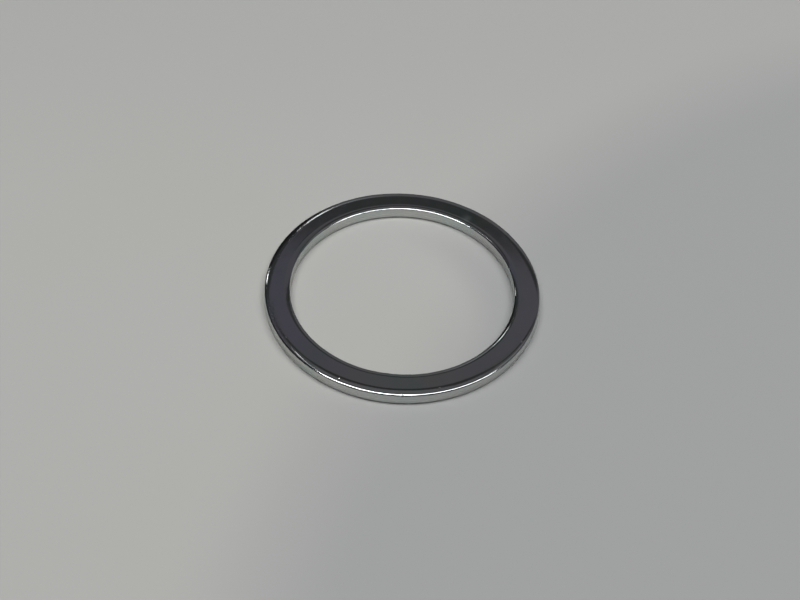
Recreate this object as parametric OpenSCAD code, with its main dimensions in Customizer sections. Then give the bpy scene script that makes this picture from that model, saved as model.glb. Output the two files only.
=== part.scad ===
// Flat solid-metal ring gasket, blanked from soft steel strip and bright zinc plated.
// The ring lies on its sheared face: the origin is the middle of that face and +Z is the ring's axis.
// Blanking and piercing draw the strip down at both edges of the upper face, so the section has
// a wide shallow roll outside, a smaller one at the bore, and two straight sheared walls.

/* [Ring] */
// Diameter of the bore, over the straight wall
bore_d = 26; // [16:0.5:28]
// Outside diameter, over the straight wall
outer_d = 32; // [30:0.5:44]
// Thickness of the strip, from the sheared face to the flat of the upper face
thickness = 1.6; // [1:0.1:3]

/* [Rolled edges] */
// Radius of the outer roll where it leaves the flat
outer_wide_r = 2.7; // [1:0.1:4]
// Radius of the outer roll where it runs into the wall
outer_tight_r = 0.3; // [0.05:0.05:0.5]
// Radius of the bore's roll where it leaves the flat
bore_wide_r = 1.8; // [1:0.1:4]
// Radius of the bore's roll where it runs into the wall
bore_tight_r = 0.25; // [0.05:0.05:0.5]

/* [Sheared edges] */
// Radius that tumbling leaves on the two edges of the sheared face
edge_break = 0.2; // [0.05:0.01:0.4]

/* [Hidden] */
$fn = 96;
bore_r = bore_d / 2;
outer_r = outer_d / 2;
plating_colour = [0.72, 0.73, 0.75];

// What a roll takes away from a square corner at +X and +Y, with the corner at the origin. The wide arc
// leaves the flat and the tight one runs into the wall. They share a tangent on a line that leans 7 across
// for 24 up, so that line, the middles of both arcs and the roll's reach all follow from the two radii.
module roll_waste(wide_r, tight_r) {
    step = (wide_r - tight_r) / 25;
    reach = tight_r + 7 * step;
    drop = wide_r - 24 * step;
    translate([-reach, -drop]) difference() {
        square([reach, drop]);
        translate([7 * step, 0]) circle(r = tight_r);
        intersection() {
            translate([0, -24 * step]) circle(r = wide_r);
            polygon([[0, 0], [7 * step, 0], [7 * step + 7 * drop, 24 * drop], [0, 24 * drop]]);
        }
    }
}

// What tumbling takes away from a square corner at +X and -Y, with the corner at the origin.
module break_waste() {
    translate([-edge_break, 0]) difference() {
        square(edge_break);
        translate([0, edge_break]) circle(r = edge_break);
    }
}

// What both edges of a wall that faces +X lose, with the foot of the wall at the origin.
module wall_waste(wide_r, tight_r) {
    translate([0, thickness]) roll_waste(wide_r, tight_r);
    break_waste();
}

// The whole section, standing on the sheared face at its place beside the axis.
module section() {
    width = outer_r - bore_r;
    translate([bore_r, 0]) difference() {
        square([width, thickness]);
        translate([width, 0]) wall_waste(outer_wide_r, outer_tight_r);
        mirror([1, 0]) wall_waste(bore_wide_r, bore_tight_r);
    }
}

module gasket_ring() {
    color(plating_colour) rotate_extrude() section();
}

gasket_ring();
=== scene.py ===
import math

import bpy
import numpy as np
from mathutils import Matrix, Vector


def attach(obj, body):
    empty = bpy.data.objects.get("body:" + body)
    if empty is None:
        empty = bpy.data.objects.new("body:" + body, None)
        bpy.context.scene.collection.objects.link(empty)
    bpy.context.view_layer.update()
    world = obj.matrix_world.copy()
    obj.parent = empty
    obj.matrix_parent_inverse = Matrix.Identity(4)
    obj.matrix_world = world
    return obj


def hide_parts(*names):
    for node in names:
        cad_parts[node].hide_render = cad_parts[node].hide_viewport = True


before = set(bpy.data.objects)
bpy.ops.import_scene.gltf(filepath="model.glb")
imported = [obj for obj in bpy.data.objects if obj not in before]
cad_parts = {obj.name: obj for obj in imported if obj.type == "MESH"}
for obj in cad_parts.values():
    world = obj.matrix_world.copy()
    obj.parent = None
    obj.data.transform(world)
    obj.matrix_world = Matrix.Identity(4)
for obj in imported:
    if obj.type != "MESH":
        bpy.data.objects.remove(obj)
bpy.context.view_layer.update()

# The gasket ring: a flat ring blanked and pierced from soft steel strip, tumbled to take off the
# burr, then bright zinc plated with a clear blue passivate. It is one piece and nothing holds it:
# it lies on its sheared face, with the two edges that the press drew down facing up.
# Sizes are in millimetres, and a lean is how far a line goes across, up and along itself.
MM = 0.001
MICRON = 0.001 * MM
BORE_R = 13.0
OUTER_R = 16.0
THICKNESS = 1.6
OUTER_WIDE_R = 2.7
OUTER_TIGHT_R = 0.3
OUTER_LEAN = (7, 24, 25)
BORE_WIDE_R = 1.6
BORE_TIGHT_R = 0.2
BORE_LEAN = (5, 12, 13)
EDGE_BREAK = 0.2
BURNISHED_FROM = 0.62
SHEAR_SET_IN = 0.012
SHEAR_SOFT = 0.03
TURN_STEPS = 720
WALL_STEPS = 12
FLAT_STEPS = 8
BREAK_STEPS = 6
TIGHT_STEPS = 10
BORE_WIDE_STEPS = 16
OUTER_WIDE_STEPS = 18


def roll_reach(wide_r, tight_r, lean):
    """How far a rolled edge reaches in from the wall, and how far it drops below the flat.

    The wide arc leaves the flat and the tight one runs into the wall. They share a tangent where the
    leaning line through both their middles meets them.
    """
    across, up, along = lean
    step = (wide_r - tight_r) / along
    return tight_r + across * step, wide_r - up * step


def two_arc_roll(wide_r, tight_r, lean, wide_steps):
    """Points of a rolled edge from the flat to the wall: (in from the wall, down from the flat, tilt)."""
    reach, drop = roll_reach(wide_r, tight_r, lean)
    hand_over = math.atan2(lean[0], lean[1])
    points = []
    for step in range(wide_steps):
        tilt = hand_over * step / wide_steps
        points.append((reach - wide_r * math.sin(tilt), wide_r * (1 - math.cos(tilt)), tilt))
    for step in range(TIGHT_STEPS + 1):
        tilt = hand_over + (math.pi / 2 - hand_over) * step / TIGHT_STEPS
        points.append((tight_r * (1 - math.sin(tilt)), drop - tight_r * math.cos(tilt), tilt))
    return points


def straight(start, stop, steps):
    """Values from start to stop, without the last one."""
    return [start + (stop - start) * step / steps for step in range(steps)]


def ring_section():
    """The ring's section from the foot of the bore, up, out, down and back again.

    Each point is its radius and height, its normal outwards and upwards, then 1 on a roll and 1 on a wall.
    """
    section = []
    quarter = math.pi / 2
    bore_reach, bore_drop = roll_reach(BORE_WIDE_R, BORE_TIGHT_R, BORE_LEAN)
    outer_reach, outer_drop = roll_reach(OUTER_WIDE_R, OUTER_TIGHT_R, OUTER_LEAN)
    bore_roll = two_arc_roll(BORE_WIDE_R, BORE_TIGHT_R, BORE_LEAN, BORE_WIDE_STEPS)
    outer_roll = two_arc_roll(OUTER_WIDE_R, OUTER_TIGHT_R, OUTER_LEAN, OUTER_WIDE_STEPS)
    for height in straight(EDGE_BREAK, THICKNESS - bore_drop, WALL_STEPS):
        section.append((BORE_R, height, -1.0, 0.0, 0.0, 1.0))
    for inward, down, tilt in reversed(bore_roll):
        section.append((BORE_R + inward, THICKNESS - down, -math.sin(tilt), math.cos(tilt), 1.0, 0.0))
    for radius in straight(BORE_R + bore_reach, OUTER_R - outer_reach, FLAT_STEPS)[1:]:
        section.append((radius, THICKNESS, 0.0, 1.0, 0.0, 0.0))
    for inward, down, tilt in outer_roll:
        section.append((OUTER_R - inward, THICKNESS - down, math.sin(tilt), math.cos(tilt), 1.0, 0.0))
    for height in straight(THICKNESS - outer_drop, EDGE_BREAK, WALL_STEPS)[1:]:
        section.append((OUTER_R, height, 1.0, 0.0, 0.0, 1.0))
    for tilt in straight(0, quarter, BREAK_STEPS):
        reach = EDGE_BREAK * (1 - math.cos(tilt))
        drop = EDGE_BREAK * (1 - math.sin(tilt))
        section.append((OUTER_R - reach, drop, math.cos(tilt), -math.sin(tilt), 0.0, 0.0))
    for radius in straight(OUTER_R - EDGE_BREAK, BORE_R + EDGE_BREAK, FLAT_STEPS):
        section.append((radius, 0.0, 0.0, -1.0, 0.0, 0.0))
    for tilt in straight(0, quarter, BREAK_STEPS):
        reach = EDGE_BREAK * (1 - math.sin(tilt))
        drop = EDGE_BREAK * (1 - math.cos(tilt))
        section.append((BORE_R + reach, drop, -math.sin(tilt), -math.cos(tilt), 0.0, 0.0))
    return np.array(section)


UNEVEN_SEED = 27
OUTER_UNEVEN = [(range(3, 14), 0.004), (range(25, 70), 0.0012), (range(80, 180), 0.0004)]
BORE_UNEVEN = [(range(3, 16), 0.003), (range(25, 90), 0.001)]
SHEAR_UNEVEN = [(range(4, 40), 0.06)]


def wander(bearing, bands, rng):
    """A smooth random curve round the ring, summed from bands: their waves to a turn, and how high."""
    total = np.zeros_like(bearing)
    for waves, height in bands:
        band = np.zeros_like(bearing)
        for wave in waves:
            band += np.cos(wave * bearing + rng.uniform(0, 2 * math.pi)) * rng.normal()
        total += height * (band / math.sqrt(len(waves) / 2))
    return total


MAP_STRIPS = 3
MAP_RIM = 0.01


def lay_out_map(mesh, section, count):
    """A flat map of the skin: the ring unrolled and cut in strips, one above another."""
    walked = np.hypot(*np.diff(section[:, :2], axis=0, append=section[:1, :2]).T)
    along = np.concatenate([[0], np.cumsum(walked)]) / walked.sum()
    per_strip = TURN_STEPS // MAP_STRIPS
    face = np.arange(TURN_STEPS * count)
    step = face // count
    place = face % count
    strip = step // per_strip
    low_u = (step % per_strip) / per_strip
    high_u = low_u + 1 / per_strip
    low_v = along[place]
    high_v = along[place + 1]
    corners_u = np.stack([low_u, high_u, high_u, low_u], axis=1)[:, ::-1]
    corners_v = np.stack([low_v, low_v, high_v, high_v], axis=1)[:, ::-1]
    u = MAP_RIM + (1 - 2 * MAP_RIM) * corners_u
    v = (strip[:, None] + MAP_RIM + (1 - 2 * MAP_RIM) * corners_v) / MAP_STRIPS
    layer = mesh.uv_layers.new(name="OFBake")
    layer.uv.foreach_set("vector", np.stack([u, v], axis=2).astype(np.float32).ravel())


def make_ring_mesh():
    """The ring as turned from its section, with the small unevenness that pressing and tumbling leave."""
    rng = np.random.default_rng(UNEVEN_SEED)
    section = ring_section()
    radius, height, out_r, out_z, roll, wall = section.T
    count = len(section)
    bearing = np.linspace(0, 2 * math.pi, TURN_STEPS, endpoint=False)
    outer_wear = wander(bearing, OUTER_UNEVEN, rng)
    bore_wear = wander(bearing, BORE_UNEVEN, rng)
    shear_line = BURNISHED_FROM + wander(bearing, SHEAR_UNEVEN, rng)

    bore_side = radius < (BORE_R + OUTER_R) / 2
    middle_of_roll = roll * np.sin(2 * np.arctan2(np.abs(out_r), np.abs(out_z))).clip(0, 1)
    proud = np.where(bore_side, bore_wear[:, None], outer_wear[:, None]) * middle_of_roll
    sheared = wall * (1 / (1 + np.exp((height - shear_line[:, None]) / SHEAR_SOFT)))
    proud -= SHEAR_SET_IN * sheared
    r_all = radius + proud * out_r
    z_all = height + proud * out_z
    x_all = r_all * np.cos(bearing)[:, None]
    y_all = r_all * np.sin(bearing)[:, None]
    points = np.stack([x_all, y_all, z_all], axis=2).reshape(-1, 3) * MM

    step, place = np.meshgrid(np.arange(TURN_STEPS), np.arange(count), indexing="ij")
    next_step = (step + 1) % TURN_STEPS
    next_place = (place + 1) % count
    corners = [step * count + place, next_step * count + place]
    corners += [next_step * count + next_place, step * count + next_place]
    faces = np.stack(corners, axis=2).reshape(-1, 4)[:, ::-1]
    mesh = bpy.data.meshes.new("gasket_ring")
    mesh.from_pydata(points.tolist(), [], faces.tolist())
    mesh.shade_smooth()
    lay_out_map(mesh, section, count)
    return mesh


class Wire:
    """A shader socket that Python's operators work on: each operator adds a Math node."""

    def __init__(self, tree, socket=None):
        self.tree = tree
        self.socket = socket

    def node(self, kind, settings, inputs, output=0):
        """Adds a node of this kind, with its settings and then its inputs, and returns one output."""
        made = self.tree.nodes.new(kind)
        for name, value in settings.items():
            setattr(made, name, value)
        by_name = {}
        for socket in made.inputs:
            by_name.setdefault(socket.name, socket)
            by_name[socket.identifier] = socket
        for name, value in inputs.items():
            if isinstance(value, Wire):
                self.tree.links.new(value.socket, by_name[name])
            else:
                by_name[name].default_value = value
        return Wire(self.tree, made.outputs[output])

    def math(self, operation, *other):
        inputs = dict(zip(["Value", "Value_001"], (self, *other)))
        return self.node("ShaderNodeMath", {"operation": operation}, inputs)

    def __add__(self, other):
        return self.math("ADD", other)

    def __sub__(self, other):
        return self.math("SUBTRACT", other)

    def __rsub__(self, other):
        return (self * -1) + other

    def __mul__(self, other):
        return self.math("MULTIPLY", other)

    def __truediv__(self, other):
        return self.math("DIVIDE", other)

    __radd__ = __add__
    __rmul__ = __mul__

    def between(self, low, high):
        """0 at low, 1 at high, smooth between."""
        inputs = {"Value": self, "From Min": low, "From Max": high}
        return self.node("ShaderNodeMapRange", {"interpolation_type": "SMOOTHSTEP"}, inputs)

    def blend(self, first, second):
        """A colour between two, by this value."""
        inputs = {"Factor_Float": self, "A_Color": first, "B_Color": second}
        return self.node("ShaderNodeMix", {"data_type": "RGBA"}, inputs, 2)

    def parts(self):
        """A vector's three parts."""
        split = self.node("ShaderNodeSeparateXYZ", {}, {"Vector": self}).socket.node
        return [Wire(self.tree, split.outputs[axis]) for axis in "XYZ"]

    def noise(self, scale, detail):
        """Cloudy noise at this place, with so many clouds to a metre."""
        inputs = {"Vector": self, "Scale": scale, "Detail": detail}
        return self.node("ShaderNodeTexNoise", {}, inputs, "Fac")

    def distance(self, spot):
        """How far this place is from a spot."""
        ends = {"Vector": self, "Vector_001": spot}
        return self.node("ShaderNodeVectorMath", {"operation": "DISTANCE"}, ends, "Value")


SILVER = (0.66, 0.665, 0.68, 1)
TEAL = (0.60, 0.665, 0.66, 1)
STRAW = (0.69, 0.67, 0.62, 1)
STRAW_SHARE = 0.5
WALL_SILVER = (0.55, 0.555, 0.54, 1)
WALL_TEAL = (0.51, 0.555, 0.54, 1)


def plating_colour(place, wall):
    """Cold silver with thin-film tints in patches, and greyer on the walls."""
    cool = place.noise(scale=260.0, detail=2.0).between(0.42, 0.7)
    warm = place.noise(scale=420.0, detail=3.0).between(0.52, 0.75)
    face = (warm * STRAW_SHARE).blend(cool.blend(SILVER, TEAL), STRAW)
    return wall.blend(face, cool.blend(WALL_SILVER, WALL_TEAL))


WALL_SKIN = 0.02
WALL_FADE = 0.06
ROLL_FADE = 0.1


def on_walls(radius):
    """1 on the bore's wall and the outer wall, 0 a little way in from them."""
    from_bore = (radius - BORE_R * MM).math("ABSOLUTE")
    from_outside = (radius - OUTER_R * MM).math("ABSOLUTE")
    return 1 - from_bore.math("MINIMUM", from_outside).between(WALL_SKIN * MM, WALL_FADE * MM)


def on_rolls(radius):
    """1 on the two rolled edges, 0 on the flat between them."""
    bore_flat = (BORE_R + roll_reach(BORE_WIDE_R, BORE_TIGHT_R, BORE_LEAN)[0]) * MM
    outer_flat = (OUTER_R - roll_reach(OUTER_WIDE_R, OUTER_TIGHT_R, OUTER_LEAN)[0]) * MM
    fade = ROLL_FADE * MM
    return (bore_flat - radius).between(-fade, fade) + (radius - outer_flat).between(-fade, fade)


def ring_spot(bearing, radius, height):
    """A spot on the ring, by degrees round from +X and by its radius and height."""
    turn = math.radians(bearing)
    return radius * MM * math.cos(turn), radius * MM * math.sin(turn), height * MM


SCUFF_STARTS = 11
SCUFF_FULL = 13
SCUFF_GAP = 2.5
SCUFF_GAP_FADE = 5
SCUFF_FAR_FADE = 1
SCUFF_FAR_LOSS = 0.7


def scuffs(place):
    """Patchy scuffs on the left of the ring, with a gap at its leftmost point, fainter on the far side."""
    across_x, across_y, _ = place.parts()
    patchy = place.noise(scale=140.0, detail=1.0).between(0.4, 0.6)
    on_left = (across_x * -1).between(SCUFF_STARTS * MM, SCUFF_FULL * MM)
    off_gap = across_y.math("ABSOLUTE").between(SCUFF_GAP * MM, SCUFF_GAP_FADE * MM)
    far_side = across_y.between(-SCUFF_FAR_FADE * MM, SCUFF_FAR_FADE * MM)
    return patchy * on_left * off_gap * (1 - far_side * SCUFF_FAR_LOSS)


# Depths of the surface's fine unevenness, in microns, and the nicks by bearing, radius and height.
GRAIN_FACE = 0.3
GRAIN_WALL = 1.2
GRAIN_TORN = 1.5
DENTS_WALL = 6.0
DENTS_ROLL = 2.0
DENTS_SCUFFED = 14.0
PITS_SCUFFED = 6.0
NICK_DEEP = 45
NICK_R = 0.15
NICKS = [
    (256.5, 15.96, 1.35),
    (260.0, 15.99, 1.29),
    (261.5, 15.96, 1.35),
    (246.5, 15.59, 1.54),
    (272.5, 15.96, 1.36),
    (287.5, 15.45, 1.57),
    (201.0, 15.52, 1.55),
    (203.5, 15.56, 1.55),
    (215.5, 15.35, 1.58),
    (118.0, 15.95, 1.36),
    (75.0, 13.05, 1.42),
    (20.0, 15.97, 1.33),
    (331.0, 15.60, 1.54),
]


def fine_height(place, rolled, wall, torn):
    """The fine unevenness in microns: grain, dents from tumbling, pits in the scuffs, and nicks."""
    scuffed = scuffs(place)
    grain = place.noise(scale=9000.0, detail=4.0)
    dents = place.noise(scale=4500.0, detail=2.0)
    cells = place.node("ShaderNodeTexVoronoi", {}, {"Vector": place, "Scale": 3200.0}, "Distance")
    pits = 1 - cells.between(0.1, 0.45)
    height = grain * (GRAIN_FACE + GRAIN_WALL * wall + GRAIN_TORN * torn) + dents * wall * DENTS_WALL
    roll_height = dents * (DENTS_ROLL + DENTS_SCUFFED * scuffed) - pits * scuffed * PITS_SCUFFED
    height = height + rolled * roll_height
    for bearing, radius, up in NICKS:
        from_nick = place.distance(ring_spot(bearing, radius, up))
        height = height - (1 - from_nick.between(0.0, NICK_R * MM)) * NICK_DEEP
    return height


POLISH = 0.06
BLOOM_DULLS = 0.05
WALL_DULLS = 0.14
TORN_DULLS = 0.12
TORN_BELOW = 0.68
TORN_FADE = 0.8
TORN_RAGGED = 0.25
RUBBED_AT = 58
RUBBED_R = 13.9
RUB_CORE = 0.4
RUB_EDGE = 1.3
RUB_RAGGED = 0.8
RUB_DULLS = 0.05


def zinc_plating():
    """Bright zinc: a silver mirror, duller on the walls and torn low on them, with one rubbed spot."""
    material = bpy.data.materials.new("bright_zinc")
    material.use_nodes = True
    tree = material.node_tree
    place = Wire(tree).node("ShaderNodeTexCoord", {}, {}, "Object")
    across_x, across_y, up = place.parts()
    radius = (across_x * across_x + across_y * across_y).math("SQRT")
    ragged = place.noise(scale=1500.0, detail=3.0)
    wall = on_walls(radius)
    torn = wall * (1 - (up + ragged * (TORN_RAGGED * MM)).between(TORN_BELOW * MM, TORN_FADE * MM))
    bloom = place.noise(scale=700.0, detail=4.0).between(0.35, 0.8)
    from_rub = place.distance(ring_spot(RUBBED_AT, RUBBED_R, THICKNESS)) + ragged * (RUB_RAGGED * MM)
    rubbed = 1 - from_rub.between(RUB_CORE * MM, RUB_EDGE * MM)
    height = fine_height(place, on_rolls(radius), wall, torn)
    finish = {
        "Base Color": plating_colour(place, wall),
        "Roughness": POLISH + bloom * BLOOM_DULLS + wall * WALL_DULLS + torn * TORN_DULLS,
        "Metallic": 1 - rubbed * RUB_DULLS,
        "Normal": place.node("ShaderNodeBump", {}, {"Height": height, "Strength": 1.0, "Distance": MICRON}),
    }
    shader = tree.nodes["Principled BSDF"]
    for name, wire in finish.items():
        tree.links.new(wire.socket, shader.inputs[name])
    return material


ring = bpy.data.objects.new("gasket_ring_skin", make_ring_mesh())
bpy.context.collection.objects.link(ring)
ring.data.materials.append(zinc_plating())
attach(ring, "root")
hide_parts("gasket_ring")

# The table: a wide pale grey laminate top with a soft sheen, which the ring lies on and which the
# walls of the ring reflect. Its colour is a little darker further off, a round shadow is painted
# into it on the right, and inside the ring painted light from the bore's walls pushes that shadow back.
TABLE_R = 4000
TABLE_SIDES = 96
PALE_GREY = (0.427, 0.428, 0.414, 1)
OLIVE_GREY = (0.422, 0.424, 0.402, 1)
FAR_GREY = (0.403, 0.405, 0.394, 1)
# A painted round shadow on the right: its grey, its middle, and where it starts and where it fades out.
PAINTED_SHADOW_GREY = (0.345, 0.350, 0.348, 1)
FAR_FROM = 5
FAR_FULL = 60
PAINTED_SHADOW_MIDDLE = (110 * MM, -62 * MM, 0)
PAINTED_SHADOW_R = 115
PAINTED_SHADOW_FADE_R = 134
# Painted light inside the ring from the bore's walls: its middle, its radii, and how far it pushes the
# painted shadow back.
BORE_LIGHT_MIDDLE = (-1 * MM, -4 * MM, 0)
BORE_LIGHT_R = 8
BORE_LIGHT_FADE_R = 14
BORE_LIGHT_PUSH = 9
UNDER_RING_R = 15
SHEEN_ROUGHNESS = 0.6
SHEEN_LEVEL = 0.25


def table_top():
    edge = []
    for side in range(TABLE_SIDES):
        turn = 2 * math.pi / TABLE_SIDES * side
        edge.append((TABLE_R * MM * math.cos(turn), TABLE_R * MM * math.sin(turn), 0))
    mesh = bpy.data.meshes.new("table_top")
    mesh.from_pydata(edge, [], [list(range(TABLE_SIDES))])
    return mesh


def laminate():
    material = bpy.data.materials.new("grey_laminate")
    material.use_nodes = True
    tree = material.node_tree
    place = Wire(tree).node("ShaderNodeTexCoord", {}, {}, "Object")
    across_y = place.parts()[1]
    cloud = place.noise(scale=28.0, detail=2.0).between(0.3, 0.7)
    dulled = across_y.between(FAR_FROM * MM, FAR_FULL * MM)
    lit = dulled.blend(cloud.blend(PALE_GREY, OLIVE_GREY), FAR_GREY)
    # Painted light: inside the ring the painted shadow is pushed back, in place of light that the bore's
    # walls throw onto the table.
    inside = place.distance((0, 0, 0)).between(UNDER_RING_R * MM, BORE_R * MM)
    painted_bore_light = inside * place.distance(BORE_LIGHT_MIDDLE).between(BORE_LIGHT_FADE_R * MM, BORE_LIGHT_R * MM)
    away = place.distance(PAINTED_SHADOW_MIDDLE) + painted_bore_light * (BORE_LIGHT_PUSH * MM)
    # Painted shadow: the colour turns to the shaded grey within a soft circle to the right.
    colour = away.between(PAINTED_SHADOW_R * MM, PAINTED_SHADOW_FADE_R * MM).blend(PAINTED_SHADOW_GREY, lit)
    shader = tree.nodes["Principled BSDF"]
    tree.links.new(colour.socket, shader.inputs["Base Color"])
    shader.inputs["Roughness"].default_value = SHEEN_ROUGHNESS
    shader.inputs["Specular IOR Level"].default_value = SHEEN_LEVEL
    return material


table = bpy.data.objects.new("table_top", table_top())
bpy.context.collection.objects.link(table)
table.data.materials.append(laminate())

# The light: a row of ceiling lamps above and behind the camera, brighter on its left, a narrow lamp on
# the left, two small windows beyond the ring on the left, and a dim room that the upper face mirrors.
# The metal mirrors the lamps, and the table gets its light from the ceiling straight above it.
# Places are in metres from the ring's middle, and directions in degrees.
LAMP_HIGH = 2.2
ROW_DEEP = 0.6
GLOW_LEFT = -2.42
GLOW_SPLIT = 0.5
GLOW_RIGHT = 4.6
GLOW_BACK = -1.35
WASH_LEFT = -1.3
WASH_RIGHT = 1.6
WASH_BACK = 0.18
LEFT_LAMP_AT = (-0.97, 0.58, LAMP_HIGH)
WINDOW_AWAY = 4.0
WINDOW_RISE = 34.5


def towards(bearing, rise):
    """A unit vector from the ring, by degrees round from +X and up from the table."""
    turn = math.radians(bearing)
    lift = math.radians(rise)
    return Vector((math.cos(turn) * math.cos(lift), math.sin(turn) * math.cos(lift), math.sin(lift)))


def light_panel(name, middle, away, wide, high, radiance):
    """A rectangular lamp of its own brightness, with its back square to the direction that leads away."""
    lamp = bpy.data.lights.new(name, "AREA")
    lamp.shape = "RECTANGLE"
    lamp.size = wide
    lamp.size_y = high
    lamp.energy = radiance * math.pi * wide * high
    holder = bpy.data.objects.new(name, lamp)
    holder.location = middle
    holder.rotation_euler = away.to_track_quat("Z", "Y").to_euler()
    holder.visible_camera = False
    bpy.context.collection.objects.link(holder)
    return holder


def ceiling_lamp(name, middle, wide, deep, radiance):
    return light_panel(name, middle, Vector((0, 0, 1)), wide, deep, radiance)


def ceiling_row(name, left, right, back, radiance):
    return ceiling_lamp(name, ((left + right) / 2, back, LAMP_HIGH), right - left, ROW_DEEP, radiance)


def window(name, bearing, wide, high, radiance):
    away = towards(bearing, WINDOW_RISE)
    return light_panel(name, away * WINDOW_AWAY, away, wide, high, radiance)


mirrored_lamps = [
    ceiling_row("left_glow", GLOW_LEFT, GLOW_SPLIT, GLOW_BACK, radiance=12.0),
    ceiling_row("right_glow", GLOW_SPLIT, GLOW_RIGHT, GLOW_BACK, radiance=6.0),
    ceiling_lamp("left_lamp", LEFT_LAMP_AT, wide=0.04, deep=0.7, radiance=1.8),
]
for mirrored_lamp in mirrored_lamps:
    mirrored_lamp.visible_diffuse = False
ceiling_wash = ceiling_row("ceiling_wash", WASH_LEFT, WASH_RIGHT, WASH_BACK, radiance=10.65)
ceiling_wash.visible_glossy = False
window("far_window", bearing=101.8, wide=0.17, high=0.45, radiance=1.5)
window("left_window", bearing=124.5, wide=0.18, high=0.25, radiance=2.8)

# The room's darker and paler patches: how far aside each one's middle is, how far up straight ahead,
# half its width and half its height, its climb for each degree aside, its level and its cast.
LILAC = (1.0, 0.935, 1.18)
VIOLET = (1.0, 0.96, 1.10)
GREY = (1.0, 0.99, 1.02)
GREEN = (0.96, 1.01, 1.0)
ROOM_LEVEL = 0.0795
ROOM_PATCHES = [
    (60, 40, 60, 60, 0, 0.084, VIOLET),
    (0, 15, 180, 19, 0, 0.10, GREY),
    (0, 77, 180, 13.5, 0, 0.115, GREY),
    (0, 58, 75, 5.5, 0, 0.078, GREY),
    (180, 20, 110, 24, 0, 0.02, GREY),
    (-180, 20, 110, 24, 0, 0.02, GREY),
    (82, 8, 32, 13, 0, 0.14, GREY),
    (82, 30, 32, 9, 0, 0.05, GREY),
    (82, 50, 32, 11, 0, 0.18, GREY),
    (-62, 18, 48, 22, 0, 0.014, GREY),
    (-14, 40, 24, 4.7, 0, 0.036, GREEN),
    (21, 42.4, 12, 4.2, -0.3, 0.032, GREEN),
    (38.5, 111.3, 9, 5.4, -1.54, 0.034, GREY),
    (-32, 69, 10, 4, 0.45, 0.034, GREY),
    (0, 62.8, 30, 4.7, 0, 0.034, GREY),
    (0, 50, 5, 4.5, 0, 0.084, GREY),
    (-8, 30, 3, 3.5, 0, 0.22, GREY),
]
SOFT_ASIDE = 8
SOFT_UP = 1.5


def wall_shade(level, cast):
    return tuple(level * part for part in cast) + (1,)


def dim_room():
    """The room as the metal sees it: a dim lilac wall, with each patch laid over those before it."""
    world = bpy.data.worlds.new("room")
    world.use_nodes = True
    tree = world.node_tree
    facing = Wire(tree).node("ShaderNodeTexCoord", {}, {}, "Generated")
    across_x, across_y, up = facing.parts()
    degrees = 180 / math.pi
    rise = up.math("ARCSINE") * degrees
    aside = across_x.math("ARCTAN2", across_y) * degrees
    colour = wall_shade(ROOM_LEVEL, LILAC)
    for bearing, middle, half_wide, half_high, climb, level, cast in ROOM_PATCHES:
        past_side = ((aside - bearing).math("ABSOLUTE") - half_wide) / SOFT_ASIDE
        past_level = ((rise - aside * climb - middle).math("ABSOLUTE") - half_high) / SOFT_UP
        within = past_side.math("MAXIMUM", past_level).between(0.5, -0.5)
        colour = within.blend(colour, wall_shade(level, cast))
    background = tree.nodes["Background"]
    tree.links.new(colour.socket, background.inputs["Color"])
    background.inputs["Strength"].default_value = 1.0
    return world


bpy.context.scene.world = dim_room()
bpy.context.scene.view_settings.view_transform = "Standard"

# The camera: about 13 cm from the ring and looking down at it, with a slight lean, so that the
# ring's middle falls on its own pixel of the picture.
CAMERA_AWAY = 0.1297
CAMERA_BEARING = 270
CAMERA_RISE = 47.46
CAMERA_LEAN = 3.39
FOCAL_PIXELS = 1108.0
RING_MIDDLE_PIXEL = (402.11, 294.27)
IMAGE_WIDE = 800
IMAGE_HIGH = 600
SENSOR_WIDE = 36.0
CLIP_NEAR = 0.005
CLIP_FAR = 50.0


def make_camera():
    lens = bpy.data.cameras.new("camera")
    lens.sensor_width = SENSOR_WIDE
    lens.lens = FOCAL_PIXELS * SENSOR_WIDE / IMAGE_WIDE
    lens.clip_start = CLIP_NEAR
    lens.clip_end = CLIP_FAR
    holder = bpy.data.objects.new("camera", lens)
    eye = towards(CAMERA_BEARING, CAMERA_RISE) * CAMERA_AWAY
    look = eye.to_track_quat("Z", "Y").to_matrix()
    lean = Matrix.Rotation(math.radians(CAMERA_LEAN), 3, "Z")
    middle_x = (RING_MIDDLE_PIXEL[0] - IMAGE_WIDE / 2) / FOCAL_PIXELS
    middle_y = (IMAGE_HIGH / 2 - RING_MIDDLE_PIXEL[1]) / FOCAL_PIXELS
    aim = Vector((middle_x, middle_y, -1)).rotation_difference(Vector((0, 0, -1))).to_matrix()
    holder.matrix_world = Matrix.Translation(eye) @ (look @ lean @ aim).to_4x4()
    bpy.context.collection.objects.link(holder)
    return holder


bpy.context.scene.camera = make_camera()
